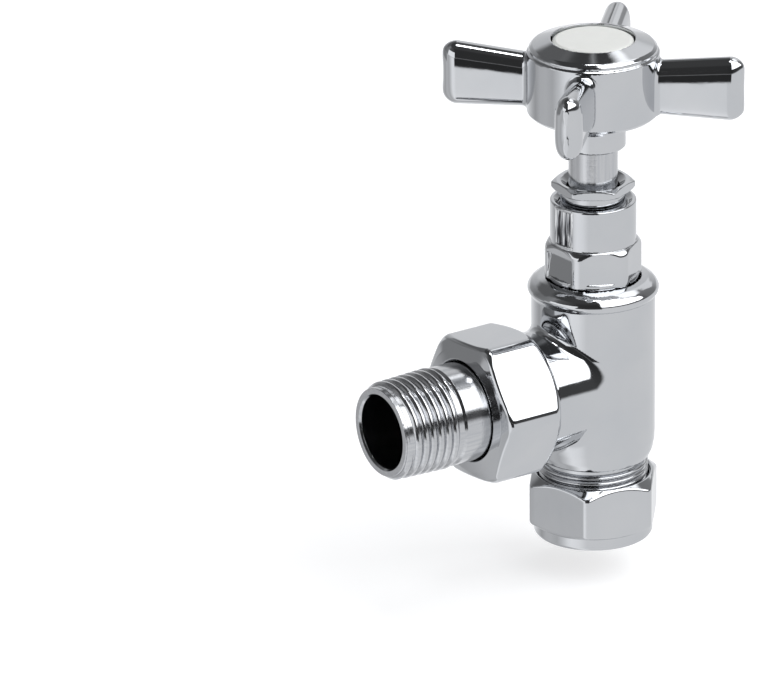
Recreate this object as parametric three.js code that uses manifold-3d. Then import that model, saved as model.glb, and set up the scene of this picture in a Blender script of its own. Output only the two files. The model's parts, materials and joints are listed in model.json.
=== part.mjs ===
// Manual angled radiator valve with a cross handle, in millimetres.
// +Z runs up the barrel axis and +X out along the branch to the radiator. The origin is on the
// barrel axis, at the pipe entry face of the compression nut.
import * as THREE from 'three';
import { mergeVertices } from 'three/addons/utils/BufferGeometryUtils.js';
import Module from 'manifold-3d';

const wasm = await Module();
wasm.setup();

// Driving dimensions
const GAP = 0.3;                   // clearance between neighbouring pieces
const ROUND = 32;                  // facets round a large turned piece
const ROUND_SMALL = 20;            // facets round a small or hidden piece

const BRANCH_Z = 34.4;             // height of the outlet axis
const BARREL_R = 12.9;
const BARREL_FOOT_Z = 17.5;
const BARREL_FOOT_R = 11.9;
const BARREL_FULL_Z = 22.6;        // where the rounded foot of the barrel reaches its full radius
const BARREL_TOP_Z = 53.6;
const BEAD_R = 13.65;
const BEAD_Z = 55.1;               // centre of the bead's rolled edge
const BEAD_ROUND = 1.2;
const SHOULDER_Z = 57.3;
const PIPE_BORE_R = 7.65;          // slides over 15 mm copper pipe
const PIPE_STOP_Z = 16;
const SEAT_BORE_R = 6.2;
const SEAT_Z = 25.9;
const CHAMBER_R = 9;
const BODY_FOOT_Z = 6;             // lower end of the barrel's thread
const PIPE_THREAD_R = 11.45;

const BRANCH_R = 12.6;
const BRANCH_BORE_R = 8;
const BRANCH_END_X = 17;            // end of the smooth part, before the thread
const UNION_THREAD_R = 13.05;
const UNION_SEAT_X = 26;           // outer end of the body's branch
const UNION_SEAT_R = 10.9;         // mouth of the cone that the tail's nose seals in
const UNION_SEAT_FOOT_X = 20.5;

const HEADWORK_THREAD_R = 9.6;
const HEADWORK_FOOT_Z = 47.6;
const GROOVE_R = 8.4;              // groove above the headwork thread, for the O-ring
const GROOVE_FOOT_Z = 54.6;
const GROOVE_TOP_Z = 56.4;
const BONNET_FLATS = 18.3;
const BONNET_TURN = 35;            // direction of a hexagon corner, degrees from +X
const BONNET_CORNER_R = 10.2;       // the hexagon's corners are turned down to this
const BONNET_FOOT_Z = SHOULDER_Z + GAP;
const BONNET_HEX_TOP_Z = 65.3;
const SLEEVE_R = 8.95;
const SLEEVE_FLATS = 17.2;         // across the two spanner flats
const SLEEVE_TURN = 10;            // direction one of them faces
const FLAT_FOOT_Z = 66.1;
const FLAT_TOP_Z = 73.5;
const SLEEVE_TOP_Z = 74.3;
const SCREW_BORE_TOP_Z = 63.6;     // upper end of the bonnet's bore for the spindle thread
const GLAND_RECESS_R = 7.3;
const GLAND_FLOOR_Z = 66;

const GLAND_FLATS = 15.2;
const GLAND_TURN = 25.6;
const GLAND_HEX_Z = 76.4;
const GLAND_TOP_Z = 78.4;
const GLAND_SKIRT_Z = 71.6;        // lower end of the gland nut's round skirt

const SPINDLE_R = 5.1;
const SPINDLE_THREAD_R = 5.9;
const SPINDLE_FOOT_Z = 46.6;
const SPINDLE_THREAD_FOOT_Z = 50.3;
const SPINDLE_THREAD_TOP_Z = 61.2;
const SPINDLE_SQUARE_Z = 88;
const SPINDLE_TOP_Z = 100.5;
const SQUARE_FLATS = 6.6;
const STEM_R = 2.6;
const STEM_TOP_Z = 54.5;
const CLIP_Z = 51.5;
const JUMPER_FOOT_Z = 26.4;
const JUMPER_DISC_R = 7.6;
const JUMPER_DISC_Z = 31.7;

const HANDLE_FOOT_Z = 86;
const NECK_R = 6.75;
const NECK_TOP_Z = 90;
const HUB_R = 13.7;
const HUB_FOOT_Z = 93.5;
const HUB_SHOULDER_Z = 106.6;
const HUB_TOP_Z = 109.4;
const CAP_R = 8.4;
const CAP_FOOT_Z = 104.4;
const CAP_TOP_Z = 109.35;
const CAP_SKIRT_BORE_R = 7.3;
const ARM_REACH = 31.4;            // from the axis to the tip of an arm
const ARM_THICKNESS = 5.8;
const ARM_ROOT = 9;                // the arm starts inside the hub, this far from the axis
const ARM_FOOT_Z = 93.3;
const ARM_TOP_Z = 107.3;
const ARM_RISE = 1.8;               // how much higher an arm's top is at its tip
const ARM_TURN = 45;

const UNION_FLATS = 29.2;
const UNION_TURN = 5;
const UNION_BACK_X = 18.2;
const UNION_FRONT_X = 32.7;
const UNION_LIP_X = 29.4;
const UNION_HOLE_R = 10.8;
const UNION_CORNER_R = 16.95;      // the nut's corners are turned down to this

const TAIL_NOSE_X = 21.6;
const TAIL_FLANGE_X = 26.3;
const TAIL_FLANGE_R = 12.3;
const TAIL_COLLAR_R = 10.4;
const TAIL_THREAD_X = 39.4;
const TAIL_END_X = 53.2;
const TAIL_BORE_R = 7.8;
const TAIL_PITCH = 1.814;          // 14 threads to the inch
const TAIL_CREST_R = 10.65;        // crest radius of the R1/2 thread next to the collar
const TAIL_TAPER = 1 / 32;         // loss of radius for each mm of length
const THREAD_DEPTH = 0.8;

const NUT_FLATS = 25.6;
const NUT_TURN = 50;
const NUT_RING_R = 12.45;
const NUT_RING_Z = 2.6;
const NUT_TOP_Z = 13.7;
const NUT_CORNER_R = 14.8;
const OLIVE_Z = 3.2;
const OLIVE_R = 8.85;
const OLIVE_CONE_Z = 4.4;          // where the nut starts to squeeze the olive

const FINISH = {
  chrome: { color: 0xc4c7ca, roughness: 0.08, metalness: 1 },
  turnedChrome: { color: 0xc9cbcc, roughness: 0.28, metalness: 1 },
  brass: { color: 0xb99a55, roughness: 0.35, metalness: 1 },
  copper: { color: 0xa9683f, roughness: 0.35, metalness: 1 },
  steel: { color: 0x9ea1a4, roughness: 0.35, metalness: 1 },
  rubber: { color: 0x17171a, roughness: 0.8, metalness: 0 },
  packing: { color: 0xe9e8e2, roughness: 0.6, metalness: 0 },
  cap: { color: 0xecebe4, roughness: 0.22, metalness: 0 },
};

const radians = THREE.MathUtils.degToRad;

// Geometry to manifold solid and back
function solid(geometry) {
  const bare = geometry.clone();
  bare.deleteAttribute('normal');
  bare.deleteAttribute('uv');
  const merged = mergeVertices(bare, 1e-5);
  return new wasm.Manifold(new wasm.Mesh({
    numProp: 3,
    vertProperties: new Float32Array(merged.attributes.position.array),
    triVerts: new Uint32Array(merged.index.array),
  }));
}

function geometryOf(manifold) {
  const mesh = manifold.getMesh();
  const geometry = new THREE.BufferGeometry();
  geometry.setAttribute('position', new THREE.BufferAttribute(mesh.vertProperties, 3));
  geometry.setIndex(new THREE.BufferAttribute(mesh.triVerts, 1));
  return geometry;
}

function unite(first, ...others) {
  return others.reduce((sum, other) => sum.add(other), first);
}

// A closed outline of [radius, height] points, turned about Z. It starts and ends on the axis,
// or is closed here when it stays clear of the axis.
function turned(outline, segments = ROUND) {
  const points = outline.map(([r, z]) => new THREE.Vector2(r, z));
  if (outline[0][0] > 0) {
    points.push(points[0].clone());
  }
  return solid(new THREE.LatheGeometry(points, segments).rotateX(Math.PI / 2));
}

// The same, turned about the outlet axis: the points are [radius, distance along +X].
function turnedAlongBranch(outline, segments = ROUND) {
  return turned(outline, segments).rotate([0, 90, 0]).translate([0, 0, BRANCH_Z]);
}

function plug(radius, from, to, segments = ROUND) {
  return turned([[0, from], [radius, from], [radius, to], [0, to]], segments);
}

function ring(inner, outer, from, to, segments = ROUND) {
  return turned([[inner, from], [outer, from], [outer, to], [inner, to]], segments);
}

// A block centred on the barrel's axis.
function box(alongX, alongY, from, to) {
  const block = new THREE.BoxGeometry(alongX, alongY, to - from);
  return solid(block.translate(0, 0, (from + to) / 2));
}

// A prism with a regular outline, `flats` across its flats, one corner at `turn` degrees.
function prism(sides, flats, turn, from, to) {
  const radius = flats / 2 / Math.cos(Math.PI / sides);
  const corners = Array.from({ length: sides }, (_, i) => {
    const angle = radians(turn) + (i * 2 * Math.PI) / sides;
    return new THREE.Vector2(radius * Math.cos(angle), radius * Math.sin(angle));
  });
  const outline = new THREE.Shape(corners);
  const block = new THREE.ExtrudeGeometry(outline, { depth: to - from, bevelEnabled: false });
  return solid(block.translate(0, 0, from));
}

function arc(centreR, centreZ, radius, fromDegrees, toDegrees, steps) {
  return Array.from({ length: steps + 1 }, (_, i) => {
    const angle = radians(fromDegrees + ((toDegrees - fromDegrees) * i) / steps);
    return [centreR + radius * Math.cos(angle), centreZ + radius * Math.sin(angle)];
  });
}

// Crests and roots along a thread, from the end nearest `start`. `crest` gives the radius.
function threadOutline(start, length, crest) {
  const points = [];
  const turns = Math.floor(length / TAIL_PITCH);
  for (let i = 0; i < turns; i += 1) {
    const root = start + i * TAIL_PITCH;
    const peak = root + TAIL_PITCH / 2;
    points.push([crest(root) - THREAD_DEPTH, root], [crest(peak), peak]);
  }
  const end = start + turns * TAIL_PITCH;
  points.push([crest(end) - THREAD_DEPTH, end]);
  return points;
}

function body() {
  const barrel = turned([
    [0, BODY_FOOT_Z],
    [PIPE_THREAD_R - 0.8, BODY_FOOT_Z],
    [PIPE_THREAD_R, BODY_FOOT_Z + 0.8],
    [PIPE_THREAD_R, BARREL_FOOT_Z - 1.2],
    [PIPE_THREAD_R - 0.5, BARREL_FOOT_Z - 0.8],
    [PIPE_THREAD_R - 0.5, BARREL_FOOT_Z],
    [BARREL_FOOT_R, BARREL_FOOT_Z],
    [BARREL_FOOT_R + 0.55, BARREL_FOOT_Z + 1.6],
    [BARREL_FOOT_R + 0.88, BARREL_FOOT_Z + 3.4],
    [BARREL_R, BARREL_FULL_Z],
    [BARREL_R, BARREL_TOP_Z],
    [BEAD_R - 0.1, BARREL_TOP_Z + 0.3],
    ...arc(BEAD_R - BEAD_ROUND, BEAD_Z, BEAD_ROUND, 0, 70, 4),
    [10.2, SHOULDER_Z],
    [0, SHOULDER_Z],
  ]);
  const branch = turnedAlongBranch([
    [0, 0],
    [BRANCH_R, 0],
    [BRANCH_R, BRANCH_END_X],
    [BRANCH_R - 0.5, BRANCH_END_X + 0.3],
    [BRANCH_R - 0.5, BRANCH_END_X + 1],
    [UNION_THREAD_R, BRANCH_END_X + 1.5],
    [UNION_THREAD_R, UNION_SEAT_X - 0.6],
    [UNION_THREAD_R - 0.6, UNION_SEAT_X],
    [0, UNION_SEAT_X],
  ]);
  const waterway = turned([
    [0, BODY_FOOT_Z - 1],
    [9.75, BODY_FOOT_Z - 1],
    [PIPE_BORE_R, BODY_FOOT_Z + 2.8],
    [PIPE_BORE_R, PIPE_STOP_Z],
    [SEAT_BORE_R, PIPE_STOP_Z],
    [SEAT_BORE_R, SEAT_Z],
    [SEAT_BORE_R + 1.1, SEAT_Z],
    [SEAT_BORE_R + 1.6, SEAT_Z - 1.4],
    [CHAMBER_R, SEAT_Z - 1.4],
    [CHAMBER_R, HEADWORK_FOOT_Z - 1.2],
    [HEADWORK_THREAD_R + GAP, HEADWORK_FOOT_Z - 0.6],
    [HEADWORK_THREAD_R + GAP, SHOULDER_Z + 1],
    [0, SHOULDER_Z + 1],
  ]);
  const outlet = turnedAlongBranch([
    [0, 0],
    [BRANCH_BORE_R, 0],
    [BRANCH_BORE_R, UNION_SEAT_FOOT_X],
    [UNION_SEAT_R, UNION_SEAT_X],
    [UNION_SEAT_R, UNION_SEAT_X + 1],
    [0, UNION_SEAT_X + 1],
  ]);
  return barrel.add(branch).subtract(waterway).subtract(outlet);
}

function compressionNut() {
  const outside = turned([
    [0, 0],
    [NUT_RING_R - 0.3, 0],
    [NUT_RING_R, 0.3],
    [NUT_RING_R, NUT_RING_Z],
    [NUT_CORNER_R, NUT_RING_Z + 1.3],
    [NUT_CORNER_R, NUT_TOP_Z - 1.3],
    [NUT_CORNER_R - 2.3, NUT_TOP_Z],
    [0, NUT_TOP_Z],
  ]);
  const inside = turned([
    [0, -1],
    [PIPE_BORE_R, -1],
    [PIPE_BORE_R, NUT_RING_Z],
    [8.6, NUT_RING_Z],
    [9.4, OLIVE_CONE_Z],
    [PIPE_THREAD_R + GAP, OLIVE_CONE_Z],
    [PIPE_THREAD_R + GAP, NUT_TOP_Z + 1],
    [0, NUT_TOP_Z + 1],
  ]);
  return prism(6, NUT_FLATS, NUT_TURN, 0, NUT_TOP_Z).intersect(outside).subtract(inside);
}

function olive() {
  return turned([
    [PIPE_BORE_R, OLIVE_Z],
    [OLIVE_R - 0.55, OLIVE_Z],
    [OLIVE_R, OLIVE_CONE_Z],
    [OLIVE_R, OLIVE_CONE_Z + 0.8],
    [8, OLIVE_CONE_Z + 3.2],
    [PIPE_BORE_R, OLIVE_CONE_Z + 3.2],
  ], ROUND_SMALL);
}

function unionNut() {
  const outside = turnedAlongBranch([
    [0, UNION_BACK_X],
    [14.7, UNION_BACK_X],
    [UNION_CORNER_R, UNION_BACK_X + 1.8],
    [UNION_CORNER_R, UNION_FRONT_X - 1.8],
    [15.4, UNION_FRONT_X - 1],
    [13.4, UNION_FRONT_X - 0.35],
    [UNION_HOLE_R + 0.2, UNION_FRONT_X],
    [0, UNION_FRONT_X],
  ]);
  const inside = turnedAlongBranch([
    [0, UNION_BACK_X - 1],
    [UNION_THREAD_R + GAP, UNION_BACK_X - 1],
    [UNION_THREAD_R + GAP, TAIL_FLANGE_X],
    [TAIL_FLANGE_R + 0.4, TAIL_FLANGE_X],
    [TAIL_FLANGE_R + 0.4, UNION_LIP_X],
    [UNION_HOLE_R, UNION_LIP_X],
    [UNION_HOLE_R, UNION_FRONT_X + 1],
    [0, UNION_FRONT_X + 1],
  ]);
  // Turned to lie along X, the prism has a corner UNION_TURN degrees above +Y.
  const hexagon = prism(6, UNION_FLATS, 90 + UNION_TURN, UNION_BACK_X, UNION_FRONT_X)
    .rotate([0, 90, 0]).translate([0, 0, BRANCH_Z]);
  return hexagon.intersect(outside).subtract(inside);
}

function tailPiece() {
  const crest = (x) => TAIL_CREST_R - (x - TAIL_THREAD_X) * TAIL_TAPER;
  return turnedAlongBranch([
    [TAIL_BORE_R, TAIL_NOSE_X],
    [8.2, TAIL_NOSE_X],
    [8.75, TAIL_NOSE_X + 1.2],
    [8.3, TAIL_NOSE_X + 1.2],
    [8.3, TAIL_NOSE_X + 2.7],
    [9.6, TAIL_NOSE_X + 2.7],
    [10.3, TAIL_NOSE_X + 4],
    [10.3, TAIL_FLANGE_X],
    [TAIL_FLANGE_R, TAIL_FLANGE_X],
    [TAIL_FLANGE_R, UNION_LIP_X - GAP],
    [TAIL_COLLAR_R, UNION_LIP_X - GAP],
    [TAIL_COLLAR_R, TAIL_THREAD_X - 0.6],
    ...threadOutline(TAIL_THREAD_X, TAIL_END_X - TAIL_THREAD_X - 0.9, crest),
    [9.4, TAIL_END_X],
    [TAIL_BORE_R + 0.3, TAIL_END_X],
    [TAIL_BORE_R, TAIL_END_X - 0.4],
  ]);
}

function tailSeal() {
  return turnedAlongBranch(arc(8.93, TAIL_NOSE_X + 1.95, 0.5, 0, 300, 5));
}

function bonnet() {
  const outside = turned([
    [0, HEADWORK_FOOT_Z],
    [HEADWORK_THREAD_R - 0.8, HEADWORK_FOOT_Z],
    [HEADWORK_THREAD_R, HEADWORK_FOOT_Z + 0.8],
    [HEADWORK_THREAD_R, GROOVE_FOOT_Z],
    [GROOVE_R, GROOVE_FOOT_Z],
    [GROOVE_R, GROOVE_TOP_Z],
    [HEADWORK_THREAD_R, GROOVE_TOP_Z],
    [HEADWORK_THREAD_R, BONNET_FOOT_Z],
    [0, BONNET_FOOT_Z],
  ]);
  const hexCone = turned([
    [0, BONNET_FOOT_Z],
    [BONNET_CORNER_R, BONNET_FOOT_Z],
    [BONNET_CORNER_R, BONNET_HEX_TOP_Z - 0.9],
    [SLEEVE_R + 0.1, BONNET_HEX_TOP_Z],
    [0, BONNET_HEX_TOP_Z],
  ]);
  const hexagon = prism(6, BONNET_FLATS, BONNET_TURN, BONNET_FOOT_Z, BONNET_HEX_TOP_Z).intersect(hexCone);
  const flats = box(SLEEVE_FLATS, 3 * SLEEVE_R, FLAT_FOOT_Z, FLAT_TOP_Z).rotate([0, 0, SLEEVE_TURN]);
  const sleeveFoot = plug(SLEEVE_R, BONNET_HEX_TOP_Z, FLAT_FOOT_Z);
  const sleeveWaist = plug(SLEEVE_R, FLAT_FOOT_Z, FLAT_TOP_Z).intersect(flats);
  const sleeveRim = plug(SLEEVE_R, FLAT_TOP_Z, SLEEVE_TOP_Z);
  const bore = turned([
    [0, HEADWORK_FOOT_Z - 1],
    [SPINDLE_THREAD_R + GAP, HEADWORK_FOOT_Z - 1],
    [SPINDLE_THREAD_R + GAP, SCREW_BORE_TOP_Z],
    [SPINDLE_R + 0.4, SCREW_BORE_TOP_Z],
    [SPINDLE_R + 0.4, GLAND_FLOOR_Z],
    [GLAND_RECESS_R, GLAND_FLOOR_Z],
    [GLAND_RECESS_R, SLEEVE_TOP_Z - 0.9],
    [GLAND_RECESS_R + 0.9, SLEEVE_TOP_Z],
    [GLAND_RECESS_R + 0.9, SLEEVE_TOP_Z + 1],
    [0, SLEEVE_TOP_Z + 1],
  ]);
  return unite(outside, hexagon, sleeveFoot, sleeveWaist, sleeveRim).subtract(bore);
}

function bonnetSeal() {
  return turned(arc(9.1, (GROOVE_FOOT_Z + GROOVE_TOP_Z) / 2, 0.65, 0, 300, 5));
}

function glandNut() {
  const cone = turned([
    [0, GLAND_HEX_Z],
    [7.9, GLAND_HEX_Z],
    [8.8, GLAND_HEX_Z + 0.5],
    [8.8, GLAND_TOP_Z - 0.6],
    [7.6, GLAND_TOP_Z],
    [0, GLAND_TOP_Z],
  ]);
  const hexagon = prism(6, GLAND_FLATS, GLAND_TURN, GLAND_HEX_Z, GLAND_TOP_Z).intersect(cone);
  const skirt = plug(GLAND_RECESS_R - GAP, GLAND_SKIRT_Z, GLAND_HEX_Z);
  const bore = turned([
    [0, GLAND_SKIRT_Z - 1],
    [SPINDLE_R + 0.4, GLAND_SKIRT_Z - 1],
    [SPINDLE_R + 0.4, GLAND_TOP_Z - 1.2],
    [6.6, GLAND_TOP_Z + 0.1],
    [0, GLAND_TOP_Z + 0.1],
  ]);
  return hexagon.add(skirt).subtract(bore);
}

function spindle() {
  const shaft = turned([
    [0, SPINDLE_FOOT_Z],
    [SPINDLE_R, SPINDLE_FOOT_Z],
    [SPINDLE_R, SPINDLE_THREAD_FOOT_Z - 0.7],
    [SPINDLE_THREAD_R, SPINDLE_THREAD_FOOT_Z],
    [SPINDLE_THREAD_R, SPINDLE_THREAD_TOP_Z],
    [SPINDLE_R, SPINDLE_THREAD_TOP_Z + 0.7],
    [SPINDLE_R, SPINDLE_SQUARE_Z],
    [0, SPINDLE_SQUARE_Z],
  ]);
  const square = prism(4, SQUARE_FLATS, ARM_TURN, SPINDLE_SQUARE_Z, SPINDLE_TOP_Z);
  const stemBore = turned([
    [0, SPINDLE_FOOT_Z - 1],
    [STEM_R + GAP, SPINDLE_FOOT_Z - 1],
    [STEM_R + GAP, CLIP_Z - 0.6],
    [3.5, CLIP_Z - 0.6],
    [3.5, CLIP_Z + 0.6],
    [STEM_R + GAP, CLIP_Z + 0.6],
    [STEM_R + GAP, STEM_TOP_Z + 0.5],
    [0, STEM_TOP_Z + 1.5],
  ], ROUND_SMALL);
  const screwHole = plug(2.25, 89, SPINDLE_TOP_Z + 1, ROUND_SMALL);
  return shaft.add(square).subtract(stemBore).subtract(screwHole);
}

function jumper() {
  return turned([
    [0, JUMPER_FOOT_Z],
    [1.9, JUMPER_FOOT_Z],
    [1.9, JUMPER_DISC_Z],
    [JUMPER_DISC_R, JUMPER_DISC_Z],
    [JUMPER_DISC_R, JUMPER_DISC_Z + 1.5],
    [STEM_R + 0.9, JUMPER_DISC_Z + 2.5],
    [STEM_R, JUMPER_DISC_Z + 3.3],
    [STEM_R, CLIP_Z - 0.4],
    [2.15, CLIP_Z - 0.4],
    [2.15, CLIP_Z + 0.4],
    [STEM_R, CLIP_Z + 0.4],
    [STEM_R, STEM_TOP_Z - 0.5],
    [0, STEM_TOP_Z],
  ], ROUND_SMALL);
}

function washerNut() {
  const hole = plug(2.2, 26, 30, ROUND_SMALL);
  return prism(6, 7, 0, 26.9, 29).subtract(hole);
}

// One arm of the handle: a side outline with a rounded tip, thickened and rounded over its edges.
function arm() {
  const edge = 2.4;
  const foot = ARM_FOOT_Z + edge;
  const top = ARM_TOP_Z - edge;
  const tip = ARM_REACH - edge;
  const corner = 1.6;
  const outline = new THREE.Shape();
  outline.moveTo(ARM_ROOT, foot + 0.4);
  outline.lineTo(tip - corner, foot);
  outline.quadraticCurveTo(tip, foot, tip, foot + corner);
  outline.lineTo(tip, top - corner);
  outline.quadraticCurveTo(tip, top, tip - corner, top);
  outline.lineTo(ARM_ROOT, top - ARM_RISE);
  outline.closePath();
  const plate = new THREE.ExtrudeGeometry(outline, {
    depth: ARM_THICKNESS - 2 * edge,
    bevelThickness: edge,
    bevelSize: edge,
    bevelSegments: 3,
    curveSegments: 3,
  });
  return solid(plate.translate(0, 0, edge - ARM_THICKNESS / 2).rotateX(Math.PI / 2));
}

function handle() {
  const hub = turned([
    [0, HANDLE_FOOT_Z],
    [NECK_R - 0.3, HANDLE_FOOT_Z],
    [NECK_R, HANDLE_FOOT_Z + 0.3],
    [NECK_R, NECK_TOP_Z],
    [NECK_R + 0.85, NECK_TOP_Z + 1.2],
    [12.9, HUB_FOOT_Z - 0.4],
    [HUB_R, HUB_FOOT_Z + 0.4],
    [HUB_R, HUB_SHOULDER_Z],
    [13.3, HUB_SHOULDER_Z + 1],
    [12.4, HUB_SHOULDER_Z + 1.6],
    [CAP_R + 0.6, HUB_TOP_Z],
    [0, HUB_TOP_Z],
  ]);
  const arms = [0, 90, 180, 270].map((angle) => arm().rotate([0, 0, ARM_TURN + angle]));
  const recess = plug(CAP_R + GAP, 103.6, HUB_TOP_Z + 1);
  const screwHole = plug(2.4, 95, 104, ROUND_SMALL);
  const socket = plug(SPINDLE_R + GAP, HANDLE_FOOT_Z - 1, SPINDLE_SQUARE_Z + GAP, ROUND);
  const broach = prism(4, SQUARE_FLATS + 2 * GAP, ARM_TURN, SPINDLE_SQUARE_Z, SPINDLE_TOP_Z + 0.4);
  return unite(hub, ...arms).subtract(recess).subtract(screwHole).subtract(socket).subtract(broach);
}

function handleScrew() {
  const screw = turned([
    [0, 91],
    [1.6, 91],
    [1.95, 91.5],
    [1.95, 104.9],
    [3.7, 104.9],
    [3.7, 106.1],
    [2.9, 107],
    [0, 107.2],
  ], ROUND_SMALL);
  const slot = box(9, 0.9, 106.2, 107.8);
  return screw.subtract(slot);
}

function indexCap() {
  return turned([
    [0, CAP_TOP_Z - 1.75],
    [CAP_SKIRT_BORE_R, CAP_TOP_Z - 1.75],
    [CAP_SKIRT_BORE_R, CAP_FOOT_Z],
    [CAP_R - 0.35, CAP_FOOT_Z],
    [CAP_R, CAP_FOOT_Z + 0.4],
    [CAP_R, CAP_TOP_Z - 0.65],
    [CAP_R - 0.6, CAP_TOP_Z - 0.25],
    [0, CAP_TOP_Z],
  ]);
}

// Every piece: its name, its solid and its finish
const pieces = [
  ['body', body(), FINISH.chrome],
  ['compression_nut', compressionNut(), FINISH.chrome],
  ['olive', olive(), FINISH.copper],
  ['union_nut', unionNut(), FINISH.chrome],
  ['tail_piece', tailPiece(), FINISH.chrome],
  ['tail_o_ring', tailSeal(), FINISH.rubber],
  ['bonnet', bonnet(), FINISH.chrome],
  ['bonnet_o_ring', bonnetSeal(), FINISH.rubber],
  ['packing_ring_lower', ring(5.4, 7, 66.3, 68, ROUND_SMALL), FINISH.packing],
  ['packing_ring_upper', ring(5.4, 7, 68.3, 70, ROUND_SMALL), FINISH.packing],
  ['gland_follower', ring(5.5, 7, 70.3, 71.3, ROUND_SMALL), FINISH.brass],
  ['gland_nut', glandNut(), FINISH.chrome],
  ['spindle', spindle(), FINISH.turnedChrome],
  ['jumper_clip', ring(2.45, 3.2, CLIP_Z - 0.25, CLIP_Z + 0.25, ROUND_SMALL), FINISH.steel],
  ['jumper', jumper(), FINISH.brass],
  ['seat_washer', ring(2.2, 7.4, 29.3, 31.4, ROUND_SMALL), FINISH.rubber],
  ['washer_nut', washerNut(), FINISH.brass],
  ['handle', handle(), FINISH.chrome],
  ['screw_washer', ring(2.3, 4.2, 103.9, 104.6, ROUND_SMALL), FINISH.steel],
  ['handle_screw', handleScrew(), FINISH.steel],
  ['index_cap', indexCap(), FINISH.cap],
];

const valve = new THREE.Group();
for (const [name, manifold, finish] of pieces) {
  const mesh = new THREE.Mesh(geometryOf(manifold), new THREE.MeshStandardMaterial(finish));
  mesh.name = name;
  valve.add(mesh);
}

export default valve;
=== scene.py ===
"""Looks of a manual angled radiator valve with a cross handle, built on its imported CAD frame.

Lengths in this file are millimetres and become metres where a mesh is made. The castings and
nuts are meshed from signed distances, so their edges are rounded as polished metal's are, and
the turned pieces are lathed from outlines whose corners are all rounded.
"""
import json
import math

import bpy
import numpy as np
from mathutils import Matrix, Vector


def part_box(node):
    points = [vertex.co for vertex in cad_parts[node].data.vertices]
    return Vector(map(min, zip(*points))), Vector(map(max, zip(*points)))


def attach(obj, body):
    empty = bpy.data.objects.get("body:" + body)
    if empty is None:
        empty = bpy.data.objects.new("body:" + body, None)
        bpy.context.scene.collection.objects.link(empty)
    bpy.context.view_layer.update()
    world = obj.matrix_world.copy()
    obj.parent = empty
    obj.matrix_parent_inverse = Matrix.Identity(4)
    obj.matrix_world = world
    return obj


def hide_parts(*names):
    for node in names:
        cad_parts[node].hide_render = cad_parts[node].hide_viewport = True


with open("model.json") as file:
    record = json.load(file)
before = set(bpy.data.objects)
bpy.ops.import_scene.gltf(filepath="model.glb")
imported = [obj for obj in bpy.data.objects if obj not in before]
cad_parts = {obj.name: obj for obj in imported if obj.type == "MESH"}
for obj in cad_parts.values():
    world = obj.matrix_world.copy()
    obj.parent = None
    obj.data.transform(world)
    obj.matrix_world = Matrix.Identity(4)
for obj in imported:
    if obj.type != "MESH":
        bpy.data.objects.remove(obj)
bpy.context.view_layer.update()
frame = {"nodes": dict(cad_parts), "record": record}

MM = 0.001
COARSE = 1.0


def low_high(node):
    """The lowest and highest corner of a CAD node, in millimetres."""
    low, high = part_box(node)
    return np.array(low) / MM, np.array(high) / MM


BODY_LOW, BODY_HIGH = low_high("body")
NUT_LOW, NUT_HIGH = low_high("compression_nut")
OLIVE_LOW, OLIVE_HIGH = low_high("olive")
UNION_LOW, UNION_HIGH = low_high("union_nut")
TAIL_LOW, TAIL_HIGH = low_high("tail_piece")
BONNET_LOW, BONNET_HIGH = low_high("bonnet")
GLAND_LOW, GLAND_HIGH = low_high("gland_nut")
SPINDLE_LOW, SPINDLE_HIGH = low_high("spindle")
HANDLE_LOW, HANDLE_HIGH = low_high("handle")
CAP_LOW, CAP_HIGH = low_high("index_cap")
BRANCH_Z = (TAIL_LOW[2] + TAIL_HIGH[2]) / 2
BONNET_HEX_TOP = BONNET_LOW[2] + 17.7

PIPE_BORE = 7.65                    # radius of the bore that takes the pipe
FLAT_TURN = math.radians(10)        # the sleeve's two milled flats face this way and its opposite
FLAT_REACH = 8.6                    # from the axis to each of them
ACROSS_AXIS = -5                    # outlines of filled shapes close on the far side of the axis
PAST = 3                            # most bores run this far past the ends of their piece


# ---------------------------------------------------------------- outlines

def rounded(corners, small=0.12, steps=5):
    """Rounds every corner of an outline of (radius, height) or (radius, height, fillet).

    An outline that starts on the axis is open and runs from axis to axis. Gives the points and
    their outward normals.
    """
    is_open = corners[0][0] == 0
    places = np.array([corner[:2] for corner in corners], float)
    following = np.roll(places, -1, axis=0)
    area = np.sum(places[:, 0] * following[:, 1] - following[:, 0] * places[:, 1])
    turn = 1.0 if area > 0 else -1.0
    points, normals = [], []
    for i, here in enumerate(places):
        before = places[i - 1] - here
        after = places[(i + 1) % len(places)] - here
        back, ahead = before / np.linalg.norm(before), after / np.linalg.norm(after)
        if is_open and i in (0, len(places) - 1):
            along = ahead if i == 0 else -back
            points.append(here)
            normals.append(turn * np.array([along[1], -along[0]]))
            continue
        half = math.acos(np.clip(back @ ahead, -1, 1)) / 2
        if half > math.radians(89):
            points.append(here)
            normals.append(turn * np.array([ahead[1], -ahead[0]]))
            continue
        fillet = corners[i][2] if len(corners[i]) > 2 else small
        room = 0.48 * min(np.linalg.norm(before), np.linalg.norm(after))
        reach = min(fillet / math.tan(half), room)
        fillet = reach * math.tan(half)
        middle = (back + ahead) / np.linalg.norm(back + ahead)
        centre = here + middle * fillet / math.sin(half)
        first, last = here + back * reach - centre, here + ahead * reach - centre
        start = math.atan2(first[1], first[0])
        sweep = math.atan2(first[0] * last[1] - first[1] * last[0], first @ last)
        convex = turn * (back[1] * ahead[0] - back[0] * ahead[1]) > 0
        for k in range(steps + 1):
            angle = start + sweep * k / steps
            spoke = np.array([math.cos(angle), math.sin(angle)])
            points.append(centre + fillet * spoke)
            normals.append(spoke if convex else -spoke)
    return np.array(points), np.array(normals)


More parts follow.
